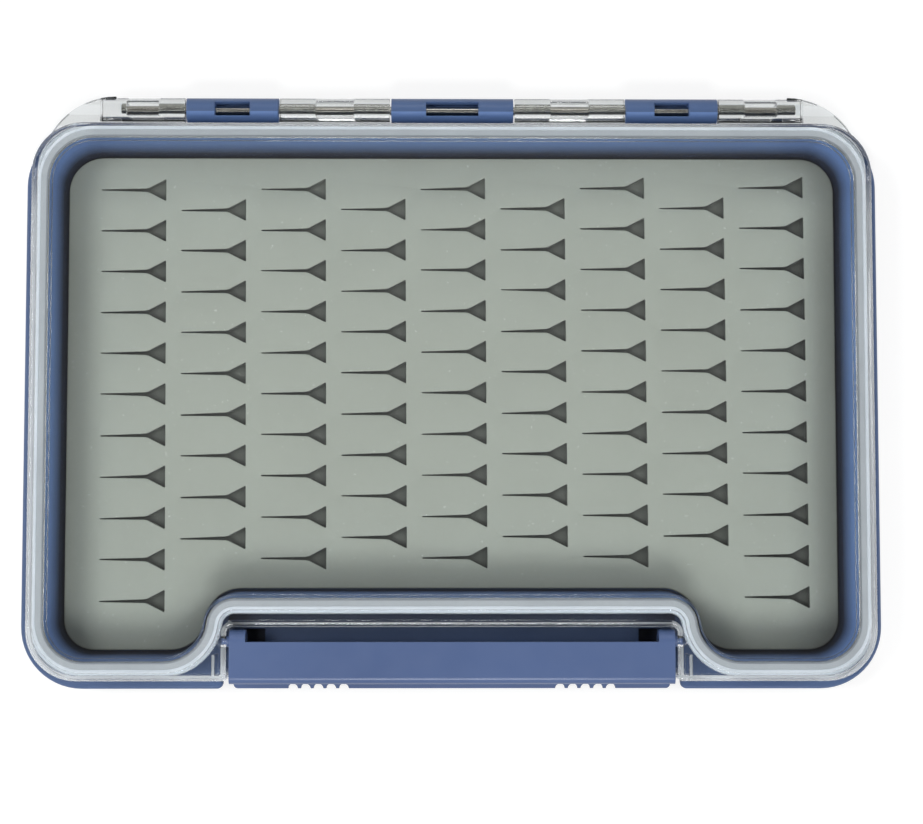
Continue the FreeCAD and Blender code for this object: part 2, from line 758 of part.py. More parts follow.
def make_latch():
    body = new_body("latch_lever")

    # Top plate, front wall, finger lip and snap nose in one section
    section = new_sketch(body, "LatchSection", "YZ_Plane")
    flat_outline(section, [
        ("-latch_pivot_y", "top"),
        ("-latch_front", "top"),
        ("-latch_front", "latch_low + lip_face + lip_slope"),
        ("-flange_front", "latch_low + lip_face"),
        ("-flange_front", "latch_low"),
        ("front_wall - latch_front", "latch_low"),
        ("front_wall + nose_reach - latch_front", "nose_top - nose_face"),
        ("front_wall + nose_reach - latch_front", "nose_top"),
        ("front_wall - latch_front", "nose_top"),
        ("front_wall - latch_front", "top - plate_thick"),
        ("-latch_pivot_y", "top - plate_thick")])
    bar = extrude(body, "Pad", section, "2 * latch_half", both_ways=True)
    rounded = dress(body, "Fillet", bar, lambda e: near(e.BoundBox.YMax, "-latch_front")
                    and is_flat_at(e, "top"), "latch_round", "Radius")
    dress(body, "Fillet", rounded, lambda e: is_upright(e) and near(e.BoundBox.YMin, "-flange_front"),
          "lip_corner", "Radius")

    # The left arm with its barrel, its trunnion and the cheek down to the front wall
    arm = new_sketch(body, "LatchArm", "YZ_Plane", "-latch_half")
    flat_outline(arm, [
        ("-latch_pivot_y - arm_run", "top - plate_thick / 2"),
        ("-latch_pivot_y - arm_run", "top - arm_drop"),
        ("-latch_pivot_y", "latch_pivot_z - latch_radius"),
        ("-latch_pivot_y", "top - plate_thick / 2")])
    arm_pad = extrude(body, "Pad", arm, "arm_thick")
    barrel = new_sketch(body, "LatchBarrel", "YZ_Plane", "-latch_half")
    circle_outline(barrel, "-latch_pivot_y", "latch_pivot_z", "latch_radius")
    barrel_pad = extrude(body, "Pad", barrel, "arm_thick")
    cheek = new_sketch(body, "LatchCheek", "YZ_Plane", "-latch_half")
    flat_outline(cheek, [
        ("-latch_pivot_y - arm_run / 2", "top - plate_thick / 2"),
        ("front_wall / 2 - latch_front", "top - plate_thick / 2"),
        ("front_wall / 2 - latch_front", "top - cheek_drop"),
        ("front_wall - latch_front", "top - cheek_drop"),
        ("-latch_pivot_y - arm_run / 2", "top - arm_drop")])
    cheek_pad = extrude(body, "Pad", cheek, "cheek_thick")
    pin = new_sketch(body, "LatchTrunnion", "YZ_Plane", "-trunnion_end")
    circle_outline(pin, "-latch_pivot_y", "latch_pivot_z", "trunnion_radius")
    pin_pad = extrude(body, "Pad", pin, "trunnion_end - latch_half + arm_thick / 2")

    # Finger scallops in the lip, left of the middle
    scallops = new_sketch(body, "LatchScallops", lift="latch_low + lip_face + lip_slope")
    for i in range(SCALLOPS):
        middle_x = "-scallop_first - %d * scallop_pitch" % i
        circle_outline(scallops, middle_x, "-flange_front", "scallop_radius")
    grip = extrude(body, "Pocket", scallops, "lip_face + lip_slope + overrun")

    # The same on the right
    mirror = body.newObject("PartDesign::Mirrored", "LatchMirror")
    mirror.Originals = [arm_pad, barrel_pad, cheek_pad, pin_pad, grip]
    mirror.MirrorPlane = (plane(body, "YZ_Plane"), [""])
    body.Tip = mirror
    return body


def slit_outline(sketch, edge_x, middle_y):
    """One slit seen from above: a fine cut that widens a little and opens into a triangle."""
    tail = edge_x + " - slit_length"
    neck = edge_x + " - slit_mouth_length"
    flat_outline(sketch, [
        (tail, middle_y + " - slit_tip"),
        (neck, middle_y + " - slit_neck"),
        (edge_x, middle_y + " - slit_mouth"),
        (edge_x, middle_y + " + slit_mouth"),
        (neck, middle_y + " + slit_neck"),
        (tail, middle_y + " + slit_tip")])


def repeat(body, pocket, name, columns, rows, column_step):
    """The slit in every row and column of one group."""
    grid = body.newObject("PartDesign::MultiTransform", name)
    grid.Originals = [pocket]
    lines = []
    for role, count, step in (("X_Axis", columns, column_step), ("Y_Axis", rows, "row_pitch")):
        if count > 1:
            line = body.newObject("PartDesign::LinearPattern", name + role[0])
            line.Direction = (plane(body, role), [""])
            line.Reversed = role == "Y_Axis"
            line.Occurrences = count
            line.setExpression("Length", bound("%d * (%s)" % (count - 1, step)))
            lines.append(line)
    grid.Transformations = lines
    body.Tip = grid


def make_insert():
    body = new_body("silicone_insert")
    sheet_sketch = new_sketch(body, "InsertSheet", lift="insert_low")
    tray_outline(sheet_sketch, "-insert_gap")
    pad = extrude(body, "Pad", sheet_sketch, "insert_thick")
    dress(body, "Chamfer", pad, lambda e: is_flat_at(e, "insert_top"), "insert_bevel", "Size")

    # The long columns, the short columns between them and the outermost columns' last slit
    span = LONG_COLUMNS - 1
    edge = "slit_shift + slit_length / 2 - %d * column_pitch" % span
    groups = (
        ("LongColumns", edge, "row_first", LONG_COLUMNS, LONG_ROWS, "2 * column_pitch"),
        ("ShortColumns", edge + " + column_pitch", "row_first - row_pitch / 2", SHORT_COLUMNS, SHORT_ROWS,
         "2 * column_pitch"),
        ("LastSlits", edge, "row_first - %d * row_pitch" % LONG_ROWS, OUTERMOST, 1,
         "%d * column_pitch" % (2 * span)))
    for name, edge_x, middle_y, columns, rows, step in groups:
        slit = new_sketch(body, name + "Slit", lift="insert_top")
        slit_outline(slit, edge_x, middle_y)
        pocket = extrude(body, "Pocket", slit, "slit_depth")
        repeat(body, pocket, name, columns, rows, step)
        doc.recompute()
    return body


def make_film():
    body = new_body("insert_adhesive")
    film = new_sketch(body, "FilmSheet", lift="floor_thick")
    tray_outline(film, "-insert_gap - film_inset")
    extrude(body, "Pad", film, "film_thick")
    return body


fill_sheet()
pieces = [make_tray(), make_film(), make_insert(), make_pin(), make_lid(), make_gasket(), make_latch()]
doc.recompute()

for thing in doc.Objects:
    for flag in ("Invalid", "Error"):
        if flag in thing.State:
            raise RuntimeError("%s is %s" % (thing.Name, flag))
os.makedirs("parts", exist_ok=True)
for piece in pieces:
    shape = piece.Shape
    if shape.isNull() or not shape.isValid():
        raise RuntimeError("%s has no valid shape" % piece.Label)
    box = shape.BoundBox
    print("%-18s solids %d  volume %9.1f  x %.2f %.2f  y %.2f %.2f  z %.2f %.2f" % (
        piece.Label, len(shape.Solids), shape.Volume, box.XMin, box.XMax, box.YMin, box.YMax,
        box.ZMin, box.ZMax))
    shape.exportStep("parts/%s.step" % piece.Label)
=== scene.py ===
import math
import random

import bpy
from mathutils import Matrix, Vector, geometry


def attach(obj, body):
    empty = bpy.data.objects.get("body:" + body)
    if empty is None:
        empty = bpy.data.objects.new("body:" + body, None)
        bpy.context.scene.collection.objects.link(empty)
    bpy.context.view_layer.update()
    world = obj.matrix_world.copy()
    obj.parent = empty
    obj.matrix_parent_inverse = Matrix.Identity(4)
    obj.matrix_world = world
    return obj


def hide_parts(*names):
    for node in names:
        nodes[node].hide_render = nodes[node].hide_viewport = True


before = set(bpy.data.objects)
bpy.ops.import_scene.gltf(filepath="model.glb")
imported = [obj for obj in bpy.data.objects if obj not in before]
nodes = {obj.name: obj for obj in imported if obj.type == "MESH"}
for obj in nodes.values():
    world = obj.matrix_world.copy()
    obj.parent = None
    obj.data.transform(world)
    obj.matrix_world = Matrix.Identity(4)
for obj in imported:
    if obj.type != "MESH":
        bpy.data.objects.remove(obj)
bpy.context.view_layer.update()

# Looks for the slim fly box. Lengths below are in millimetres of the CAD frame and are turned into
# metres where a mesh is made.
MM = 0.001
rng = random.Random(11)


# Outlines

def arc(cx, cy, radius, start, stop, steps):
    """Points on an arc, angles in degrees, both ends included."""
    points = []
    for i in range(steps + 1):
        angle = math.radians(start + (stop - start) * i / steps)
        points.append((cx + radius * math.cos(angle), cy + radius * math.sin(angle)))
    return points


# Middles and radii of the tray's bends: beside the latch, at the latch and at the four corners
BEND_X, BEND_Y, BEND_R = 64.2, -51.0, 8.3
INNER_Y, INNER_R = -53.0, 7.7
FRONT_X, FRONT_Y, FRONT_R = 81.8, -52.1, 7.2
REAR_X, REAR_Y, REAR_R = 80.7, 46.6, 8.3
BEND_RUN = math.sqrt((BEND_R + INNER_R) ** 2 - (BEND_Y - INNER_Y) ** 2)
BEND_TILT = math.degrees(math.atan2(BEND_Y - INNER_Y, BEND_RUN))


def tray_ring(grow):
    """The tray's outline at a distance outside its floor outline, counterclockwise."""
    inner_x = BEND_X - BEND_RUN
    points = arc(-FRONT_X, FRONT_Y, FRONT_R + grow, 180, 270, 12)
    points += arc(-BEND_X, BEND_Y, BEND_R + grow, 270, 360 - BEND_TILT, 14)
    points += arc(-inner_x, INNER_Y, INNER_R - grow, 180 - BEND_TILT, 90, 14)[1:]
    points += arc(inner_x, INNER_Y, INNER_R - grow, 90, BEND_TILT, 14)
    points += arc(BEND_X, BEND_Y, BEND_R + grow, 180 + BEND_TILT, 270, 14)[1:]
    points += arc(FRONT_X, FRONT_Y, FRONT_R + grow, 270, 360, 12)
    points += arc(REAR_X, REAR_Y, REAR_R + grow, 0, 90, 14)
    points += arc(-REAR_X, REAR_Y, REAR_R + grow, 90, 180, 14)
    return points


def offset(points, distance):
    """A closed counterclockwise outline moved outwards with mitred corners."""
    moved = []
    count = len(points)
    for i in range(count):
        ax, ay = points[i - 1]
        bx, by = points[i]
        cx, cy = points[(i + 1) % count]
        first = Vector((by - ay, ax - bx)).normalized()
        second = Vector((cy - by, bx - cx)).normalized()
        mid = (first + second).normalized()
        reach = distance / max(mid.dot(first), 0.35)
        moved.append((bx + mid.x * reach, by + mid.y * reach))
    return moved


# Meshes

class Builder:
    """Collects rings of points and the faces between them."""

    def __init__(self):
        self.points = []
        self.faces = []

    def ring(self, outline, z):
        first = len(self.points)
        for x, y in outline:
            self.points.append((x, y, z))
        return list(range(first, first + len(outline)))

    def band(self, low, high):
        """Faces between two rings of the same length. Their fronts look to the right of low to high."""
        count = len(low)
        for i in range(count):
            j = (i + 1) % count
            self.faces.append((low[i], low[j], high[j], high[i]))

    def cap(self, ring, down=False):
        self.faces.append(tuple(reversed(ring)) if down else tuple(ring))

    def make(self, name, material, smooth=None):
        mesh = bpy.data.meshes.new(name)
        mesh.from_pydata([(x * MM, y * MM, z * MM) for x, y, z in self.points], [], self.faces)
        mesh.validate()
        mesh.materials.append(material)
        piece = bpy.data.objects.new(name, mesh)
        bpy.context.scene.collection.objects.link(piece)
        if smooth is not None:
            mesh.shade_smooth()
            mesh.set_sharp_from_angle(angle=math.radians(smooth))
        return piece


# Materials

class Nodes:
    """Short calls that add nodes to one tree."""

    def __init__(self, tree):
        self.tree = tree

    def node(self, kind, **settings):
        made = self.tree.nodes.new("ShaderNode" + kind)
        for key, value in settings.items():
            setattr(made, key, value)
        return made

    def link(self, source, target):
        self.tree.links.new(source, target)

    def math(self, operation, *values):
        made = self.node("Math", operation=operation)
        for socket, value in zip(made.inputs, values):
            if isinstance(value, float):
                socket.default_value = value
            else:
                self.link(value, socket)
        return made.outputs["Value"]

    def span(self, source, low, high, from_low=0.3, from_high=0.7, kind="LINEAR"):
        """A value spread over a range."""
        made = self.node("MapRange", interpolation_type=kind)
        ends = {"From Min": from_low, "From Max": from_high, "To Min": low, "To Max": high}
        for key, value in ends.items():
            made.inputs[key].default_value = value
        self.link(source, made.inputs["Value"])
        return made.outputs["Result"]

    def parts(self, vector):
        """The X, Y and Z of a vector."""
        split = self.node("SeparateXYZ")
        self.link(vector, split.inputs["Vector"])
        return [split.outputs[axis] for axis in "XYZ"]

    def overlap(self, *masks):
        """1 where all masks are 1."""
        total = masks[0]
        for mask in masks[1:]:
            total = self.math("MULTIPLY", total, mask)
        return total

    def invert(self, mask):
        return self.math("SUBTRACT", 1.0, mask)

    def occlusion(self, distance, **settings):
        """How open a place is, from 0 to 1."""
        made = self.node("AmbientOcclusion", samples=8, **settings)
        made.inputs["Distance"].default_value = distance
        return made.outputs["AO"]


class Shade(Nodes):
    """A material with a Principled shader and short calls for the nodes that feed it."""

    def __init__(self, name, **sockets):
        self.material = bpy.data.materials.new(name)
        self.material.use_nodes = True
        super().__init__(self.material.node_tree)
        self.shader = self.tree.nodes["Principled BSDF"]
        self.output = self.tree.nodes["Material Output"]
        for socket, value in sockets.items():
            self.shader.inputs[socket.replace("_", " ")].default_value = value
        self.place = self.node("TexCoord").outputs["Object"]

    def stretched(self, x, y, z):
        mapping = self.node("Mapping")
        mapping.inputs["Scale"].default_value = (x, y, z)
        self.link(self.place, mapping.inputs["Vector"])
        return mapping.outputs["Vector"]

    def noise(self, scale, detail=3.0, roughness=0.55, place=None):
        made = self.node("TexNoise")
        made.inputs["Scale"].default_value = scale
        made.inputs["Detail"].default_value = detail
        made.inputs["Roughness"].default_value = roughness
        self.link(place or self.place, made.inputs["Vector"])
        return made.outputs["Fac"]

    def ramp(self, source, *stops):
        """A colour for each place along a value."""
        made = self.node("ValToRGB")
        band = made.color_ramp
        while len(band.elements) < len(stops):
            band.elements.new(0.5)
        for element, (place, colour) in zip(band.elements, stops):
            element.position = place
            element.color = (*colour, 1.0)
        self.link(source, made.inputs["Fac"])
        return made.outputs["Color"]

    def tones(self, drift, low, high, factor=(1.0, 1.0, 1.0)):
        """A colour that drifts between two, both times a factor."""
        first, last = (tuple(k * c for k, c in zip(factor, colour)) for colour in (low, high))
        return self.ramp(drift, (0.3, first), (0.7, last))

    def blend(self, amount, first, second, kind="MIX"):
        """Two colours mixed by a value."""
        made = self.node("Mix", data_type="RGBA", blend_type=kind)
        if isinstance(amount, float):
            made.inputs["Factor"].default_value = amount
        else:
            self.link(amount, made.inputs["Factor"])
        self.link(first, made.inputs["A"])
        self.link(second, made.inputs["B"])
        return made.outputs["Result"]

    def soft_edges(self, radius):
        """Normals that round the sharp edges off over a radius in metres."""
        made = self.node("Bevel", samples=6)
        made.inputs["Radius"].default_value = radius
        return made.outputs["Normal"]

    def bump(self, *heights, normal=None):
        """Bumps on each other, each a height and how deep it is in metres."""
        for source, depth in heights:
            made = self.node("Bump")
            made.inputs["Strength"].default_value = 1.0
            made.inputs["Distance"].default_value = depth
            self.link(source, made.inputs["Height"])
            if normal is not None:
                self.link(normal, made.inputs["Normal"])
            normal = made.outputs["Normal"]
        self.link(normal, self.shader.inputs["Normal"])

    def colour(self, source):
        self.link(source, self.shader.inputs["Base Color"])

    def roughness(self, source):
        self.link(source, self.shader.inputs["Roughness"])


# Places in metres that the materials tell apart: the height where the lid meets the tray and the
# hinge turns, the hinge's axis and the front of its barrels, how far the pin's grease reaches, the
# front wall's bend round the latch, the ledge behind the latch, and the lid's notch
PARTING_Z = 0.0105
HINGE_Y, TRAY_BARRELS_Y, LID_BARRELS_Y = 0.0647, 0.0605, 0.0608
PIN_REACH = 0.0012
BEND_HALF_X, BEND_REAR_Y = 0.0642, -0.044
LEDGE_HALF_X, LEDGE_Y, LEDGE_HALF_Y, LEDGE_Z = 0.0505, -0.0565, 0.0078, 0.0103
NOTCH_HALF_X, NOTCH_FACE_Y, NOTCH_REAR_Y = 0.0495, -0.0524, -0.05

# Painted light and shade: how much lighter the inner wall and its ends are painted than the tray's
# own colour, how dark the painted shade in hollows is and how much darker the ledge is painted; and
# how much rougher the inner wall is
WALL_PAINTED_LIGHT, ENDS_PAINTED_LIGHT = (1.95, 1.95, 1.95), (2.4, 2.4, 2.4)
HOLLOW_PAINTED_SHADE = (0.05, 0.075, 0.12)
LEDGE_PAINTED_SHADE = 0.55
WALL_DULL = 0.3


def looks_inward(s):
    """1 on the walls that look into the tray's cavity and 0 on all others."""
    normal = s.node("NewGeometry").outputs["True Normal"]
    outward = s.node("VectorMath", operation="DOT_PRODUCT")
    s.link(normal, outward.inputs[0])
    s.link(s.place, outward.inputs[1])
    inward = s.math("LESS_THAN", outward.outputs["Value"], -0.002)

    # Beside the latch the wall bends the other way
    x, y, _ = s.parts(s.place)
    facing_x, facing_y, _ = s.parts(normal)
    side = s.math("MULTIPLY", s.math("SIGN", x), facing_x)
    lean = s.math("ADD", s.math("MULTIPLY", side, 0.8), s.math("MULTIPLY", facing_y, 0.6))
    other = s.math("GREATER_THAN", lean, 0.1)
    bend = s.overlap(s.math("LESS_THAN", s.math("ABSOLUTE", x), BEND_HALF_X),
                     s.math("LESS_THAN", y, BEND_REAR_Y))
    return s.math("ADD", s.overlap(inward, s.invert(bend)), s.overlap(other, bend))


def tray_colour_with_painted_light(s, drift, low, high, inner):
    """The tray's blue with painted shade in hollows, on the ledge and at the inner wall's foot."""
    x, y, z = s.parts(s.place)
    aside = s.math("ABSOLUTE", x)
    # Painted shade: the less open a place is, the darker it is painted
    open_share = s.span(s.occlusion(0.014, only_local=True), 0.0, 1.0, 0.3, 0.8)

    # The inner wall's foot is painted darker, as painted shade; beside the latch the dark part reaches
    # less high
    lift = s.overlap(s.span(aside, 0.003, 0.0, 0.05, 0.064), s.math("LESS_THAN", y, BEND_REAR_Y))
    above_foot = s.span(s.math("ADD", z, lift), 0.0, 1.0, 0.0068, 0.0145)
    light = s.math("ADD", s.overlap(above_foot, inner), s.overlap(open_share, s.invert(inner)))
    # The hinge barrels get no painted shade
    light = s.math("MAXIMUM", light, s.math("GREATER_THAN", y, TRAY_BARRELS_Y))

    # Painted shade: the ledge behind the latch is painted darker, as it lies in shade
    from_middle = s.math("ABSOLUTE", s.math("SUBTRACT", y, LEDGE_Y))
    ledge = s.overlap(s.math("LESS_THAN", aside, LEDGE_HALF_X),
                      s.math("LESS_THAN", from_middle, LEDGE_HALF_Y),
                      s.math("GREATER_THAN", z, LEDGE_Z))
    light = s.math("SUBTRACT", light, s.math("MULTIPLY", ledge, LEDGE_PAINTED_SHADE))

    # Painted light: the inner wall is painted lighter than the outside, most at its ends
    wall = s.blend(s.span(aside, 0.0, 1.0, 0.082, 0.089), s.tones(drift, low, high, WALL_PAINTED_LIGHT),
                   s.tones(drift, low, high, ENDS_PAINTED_LIGHT))
    face = s.blend(inner, s.tones(drift, low, high), wall)
    return s.blend(light, s.tones(drift, low, high, HOLLOW_PAINTED_SHADE), face)


def blue_plastic(name, low, high, gloss, grain, hollows=False):
    """Moulded ABS: faint colour drift, fine moulded grain, rubbed patches and painted light and shade.
    """
    s = Shade(name, IOR=1.53, Specular_IOR_Level=0.35, Coat_Weight=0.06, Coat_Roughness=0.12)
    drift = s.noise(28.0, 4.0)
    dull = s.span(s.noise(140.0, 5.0, 0.65), gloss - 0.02, gloss + 0.08)
    if hollows:
        inner = looks_inward(s)
        # The tray's colour carries painted shade and a painted lighter inner wall
        s.colour(tray_colour_with_painted_light(s, drift, low, high, inner))
        dull = s.math("ADD", dull, s.math("MULTIPLY", inner, WALL_DULL))
    else:
        s.colour(s.tones(drift, low, high))
    s.roughness(dull)
    s.bump((s.noise(3200.0, 2.0), grain), (s.noise(160.0, 2.0), 0.000012),
           normal=s.soft_edges(0.0003))
    return s.material


def clear_plastic(name):
    """Moulded polycarbonate with faint flow waves and hairline scratches. Light shines through it."""
    s = Shade(name, IOR=1.585)
    x, y, z = s.parts(s.place)
    aside = s.math("ABSOLUTE", x)
    scratches = s.noise(900.0, 2.0, 0.5, s.stretched(0.05, 1.0, 1.0))
    crossing = s.noise(700.0, 2.0, 0.5, s.stretched(1.0, 0.06, 1.0))
    s.roughness(s.span(s.noise(60.0, 4.0), 0.012, 0.045))
    s.bump((s.noise(22.0, 1.0), 0.000004), (scratches, 0.0000005), (crossing, 0.0000005),
           normal=s.soft_edges(0.0004))

    # Painted light: the walls' feet are made a little white and less clear, standing in for light led
    # out through the clear walls; not so on the notch's inner face and at the rear corners
    above_parting = s.math("SUBTRACT", z, PARTING_Z)
    painted_glow = s.span(s.math("ABSOLUTE", above_parting), 0.9, 0.0, 0.00012, 0.0004)
    shown = s.math("MAXIMUM", s.math("GREATER_THAN", aside, NOTCH_HALF_X),
                   s.math("LESS_THAN", y, NOTCH_FACE_Y))
    shown = s.math("MAXIMUM", shown, s.math("GREATER_THAN", y, NOTCH_REAR_Y))
    corner = s.overlap(s.span(y, 0.0, 1.0, 0.04, 0.052), s.span(aside, 0.0, 1.0, 0.06, 0.078))
    painted_glow = s.overlap(painted_glow, s.overlap(shown, s.invert(corner)))
    s.link(s.invert(painted_glow), s.shader.inputs["Transmission Weight"])

    # Greyer in the hinge, and wet with grease where the barrels touch the pin
    hinge = s.math("GREATER_THAN", y, LID_BARRELS_Y)
    s.colour(s.ramp(hinge, (0.0, (0.905, 0.925, 0.94)), (1.0, (0.80, 0.82, 0.82))))
    across = s.math("SUBTRACT", y, HINGE_Y)
    reach = s.math("ADD", s.math("MULTIPLY", across, across),
                   s.math("MULTIPLY", above_parting, above_parting))
    wet = s.math("LESS_THAN", reach, PIN_REACH ** 2)

    clear = s.node("BsdfTransparent")
    clear.inputs["Color"].default_value = (0.96, 0.975, 0.98, 1.0)
    path = s.node("LightPath").outputs
    passing = s.math("MAXIMUM", path["Is Shadow Ray"], path["Is Diffuse Ray"])
    mixed = s.node("MixShader")
    s.link(s.math("MAXIMUM", passing, wet), mixed.inputs["Fac"])
    s.link(s.shader.outputs["BSDF"], mixed.inputs[1])
    s.link(clear.outputs["BSDF"], mixed.inputs[2])
    s.link(mixed.outputs["Shader"], s.output.inputs["Surface"])
    return s.material


def mat_silicone(name):
    """Matt grey-green silicone with soft mottling, fine pores, a few specks of lint and painted shade.
    """
    s = Shade(name, IOR=1.41, Sheen_Weight=0.12, Sheen_Roughness=0.5)
    x, y, z = s.parts(s.place)
    mottle = s.noise(45.0, 5.0, 0.6)
    base = s.tones(mottle, (0.412, 0.432, 0.367), (0.438, 0.460, 0.393))
    # Painted shade: the slits' floors are painted dark
    slit_painted_shade = s.tones(mottle, (0.160, 0.170, 0.143), (0.176, 0.187, 0.158))
    pale = s.ramp(mottle, (0.0, (0.58, 0.60, 0.54)), (1.0, (0.62, 0.64, 0.58)))
    lint = s.ramp(s.noise(1500.0, 2.0, 0.5), (0.7, (0.0, 0.0, 0.0)), (0.76, (1.0, 1.0, 1.0)))
    face = s.blend(s.span(z, 0.0, 1.0, 0.0044, 0.00492), slit_painted_shade, s.blend(lint, base, pale))

    # Painted shade: darker beside the walls and in the slits, most at the right and least at the rear
    right = s.span(x, 1.0, 1.8, 0.055, 0.085)
    power = s.math("SUBTRACT", right, s.span(y, 0.0, 0.75, 0.032, 0.051))
    shade = s.math("POWER", s.span(s.occlusion(0.013), 0.2, 1.0, 0.0, 1.0), power)
    s.colour(s.blend(1.0, face, shade, "MULTIPLY"))
    s.roughness(s.span(mottle, 0.55, 0.7))
    s.bump((s.noise(2600.0, 3.0), 0.00003), (s.noise(70.0, 2.0), 0.00012))
    return s.material


def seal_silicone(name, low, high):
    """Pale silicone, a little translucent."""
    s = Shade(name, IOR=1.41, Transmission_Weight=0.12, Coat_Weight=0.1)
    s.colour(s.tones(s.noise(60.0, 4.0), low, high))
    s.roughness(s.span(s.noise(300.0, 4.0), 0.3, 0.5))
    s.bump((s.noise(1800.0, 2.0), 0.00001))
    return s.material


def drawn_steel(name):
    """A drawn stainless pin with fine lines along its length."""
    s = Shade(name, Metallic=1.0, Anisotropic=0.4)
    lines = s.noise(4000.0, 3.0, 0.6, s.stretched(0.02, 1.0, 1.0))
    s.colour(s.tones(lines, (0.30, 0.29, 0.26), (0.38, 0.37, 0.34)))
    s.roughness(s.span(lines, 0.2, 0.3))
    s.bump((lines, 0.0000006))
    return s.material


def film(name):
    """Pressure-sensitive film, pale and slightly mottled."""
    s = Shade(name, IOR=1.45)
    s.colour(s.tones(s.noise(90.0, 4.0), (0.55, 0.55, 0.52), (0.63, 0.63, 0.60)))
    s.roughness(s.span(s.noise(400.0, 3.0), 0.4, 0.6))
    s.bump((s.noise(900.0, 3.0), 0.00002))
    return s.material


blue = blue_plastic("moulded_blue", (0.068, 0.118, 0.250), (0.081, 0.138, 0.285), 0.34, 0.000006,
                    hollows=True)
latch_blue = blue_plastic("latch_blue", (0.074, 0.118, 0.255), (0.088, 0.138, 0.290), 0.3, 0.000008)
clear = clear_plastic("clear_polycarbonate")
mat = mat_silicone("matt_silicone")
seal = seal_silicone("seal_silicone_pressed", (0.495, 0.52, 0.545), (0.555, 0.58, 0.605))
# The edge copy is painted darker: painted shade at the seal's inner edge
edge_seal_painted_shade = seal_silicone("seal_silicone_edge_painted_shade", (0.27, 0.29, 0.32), (0.31, 0.33, 0.36))
# The free copy is painted lighter: painted light on the seal's free half
free_seal_painted_light = seal_silicone("seal_silicone_free_painted_light", (0.76, 0.80, 0.85), (0.83, 0.87, 0.92))
steel = drawn_steel("drawn_steel")
pale_film = film("adhesive_film_pale")

for name, material in (("base_tray", blue), ("latch_lever", latch_blue), ("lid_cover", clear),
                       ("hinge_pin", steel), ("insert_adhesive", pale_film)):
    for place in nodes[name].material_slots:
        place.material = material


# Silicone insert with its slits

INSERT_LOW, INSERT_TOP, SLIT_DEPTH = 2.0, 5.0, 2.2
COLUMN_PITCH, ROW_PITCH, ROW_FIRST = 18.49, 9.5, 47.5
SLIT_LENGTH, MOUTH_LENGTH, MOUTH_HALF = 15.0, 4.2, 2.5
GRID_TURN = 0.0058


def slit_outline(edge_x, middle_y):
    """One slit from above: a cut that widens a little and opens into a triangle."""
    tip = rng.uniform(0.09, 0.15)
    neck = rng.uniform(0.36, 0.43)
    wave = rng.uniform(-0.12, 0.12)
    tail_x, neck_x = edge_x - SLIT_LENGTH, edge_x - MOUTH_LENGTH
    mid_x = (tail_x + neck_x) / 2
    low = [(tail_x, middle_y + wave), (tail_x + 0.25, middle_y + wave - tip),
           (mid_x, middle_y + wave / 2 - (tip + neck) / 2), (neck_x - 0.4, middle_y - neck),
           (neck_x + 0.3, middle_y - neck - 0.16), (edge_x - 0.2, middle_y - MOUTH_HALF + 0.02),
           (edge_x, middle_y - MOUTH_HALF + 0.16)]
    high = [(x, 2 * middle_y - y) for x, y in low[3:]]
    high = [(mid_x, middle_y + wave / 2 + (tip + neck) / 2)] + high
    high = [(tail_x + 0.25, middle_y + wave + tip)] + high
    cos, sin = math.cos(GRID_TURN), math.sin(GRID_TURN)
    return [(x * cos - y * sin, x * sin + y * cos) for x, y in low + list(reversed(high))]


def slit_places():
    """The right edge and the middle of every slit, nine columns of ten or nine, eleven outermost."""
    places = []
    for column in range(9):
        edge_x = 7.92 + (column - 4) * COLUMN_PITCH
        outermost = column in (0, 8)
        rows = 11 if outermost else (10 if column % 2 == 0 else 9)
        start = ROW_FIRST - (0 if column % 2 == 0 else ROW_PITCH / 2)
        for row in range(rows):
            places.append((edge_x, start - row * ROW_PITCH))
    return places


def make_insert():
    b = Builder()
    rings = [b.ring(tray_ring(grow), z) for grow, z in
             ((-0.3, INSERT_LOW), (-0.3, 4.72), (-0.34, 4.88), (-0.45, 4.97), (-0.62, INSERT_TOP))]
    for low, high in zip(rings, rings[1:]):
        b.band(low, high)
    b.cap(rings[0], down=True)
    border = rings[-1]
    loops = [border]
    holes = []
    for edge_x, middle_y in slit_places():
        shape = slit_outline(edge_x, middle_y)
        lips = [b.ring(offset(shape, grow), z) for grow, z in
                ((0.16, INSERT_TOP), (0.06, 4.975), (0.0, 4.9))]
        floor = b.ring(offset(shape, -0.03), INSERT_TOP - SLIT_DEPTH)
        for high, low in zip(lips + [floor], (lips + [floor])[1:]):
            b.band(high, low)
        b.cap(floor)
        loops.append(lips[0])
        xs = [b.points[i][0] for i in lips[0]]
        ys = [b.points[i][1] for i in lips[0]]
        holes.append((min(xs), max(xs), min(ys), max(ys), [b.points[i][:2] for i in lips[0]]))

    # The top face between the border and the slits
    numbers = [i for loop in loops for i in loop]
    flat = [Vector(b.points[i][:2]) for i in numbers]
    edges = []
    base = 0
    for loop in loops:
        edges += [(base + i, base + (i + 1) % len(loop)) for i in range(len(loop))]
        base += len(loop)
    places, _, triangles, sources, _, _ = geometry.delaunay_2d_cdt(flat, edges, [], 1, 1e-5)
    for triangle in triangles:
        cx = sum(places[i].x for i in triangle) / 3
        cy = sum(places[i].y for i in triangle) / 3
        if not any(x0 < cx < x1 and y0 < cy < y1 and inside(cx, cy, ring)
                   for x0, x1, y0, y1, ring in holes):
            b.faces.append(tuple(numbers[sources[i][0]] for i in triangle))
    piece = b.make("insert_slit_sheet", mat, 50)
    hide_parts("silicone_insert")
    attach(piece, "tray")


def inside(x, y, ring):
    """Whether a point lies inside a closed outline."""
    hit = False
    for i in range(len(ring)):
        ax, ay = ring[i - 1]
        bx, by = ring[i]
        if (ay > y) != (by > y) and x < ax + (bx - ax) * (y - ay) / (by - ay):
            hit = not hit
    return hit


# Seal in the lid

